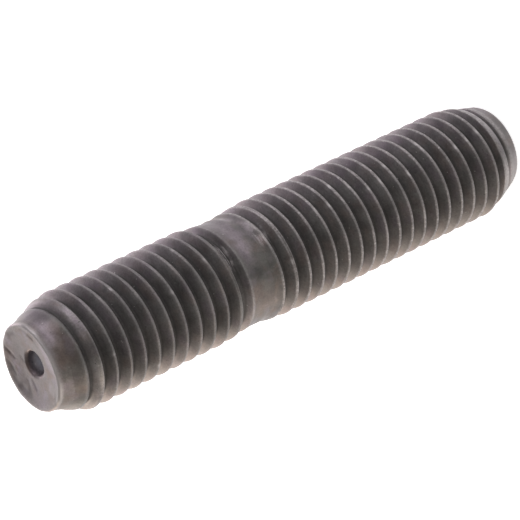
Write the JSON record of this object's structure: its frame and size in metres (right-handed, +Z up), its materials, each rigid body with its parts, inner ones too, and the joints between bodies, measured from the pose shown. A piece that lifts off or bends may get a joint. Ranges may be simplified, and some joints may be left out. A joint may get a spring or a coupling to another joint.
{
  "type": "threaded stud",
  "caption": "Straight steel stud, threaded from both ends towards a short plain waist, with tapered points and a shallow drilled hole in the face of its shorter end.",
  "frame": {"origin": "middle of the lower end face, which is the face of the longer, nut end", "axes": "+Z up the stud's axis, from the nut end to the metal end; +X lies 60 degrees anticlockwise, seen from the metal end, from the side on which the drilled hole stands off the axis"},
  "size_m": [0.0138, 0.0138, 0.07],
  "materials": {
    "blackened_steel": "black oxide over rolled steel, satin, rubbed paler on the thread crests, the points and the end faces"
  },
  "bodies": {
    "root": {"stud": "blackened_steel"}
  },
  "joints": []
}
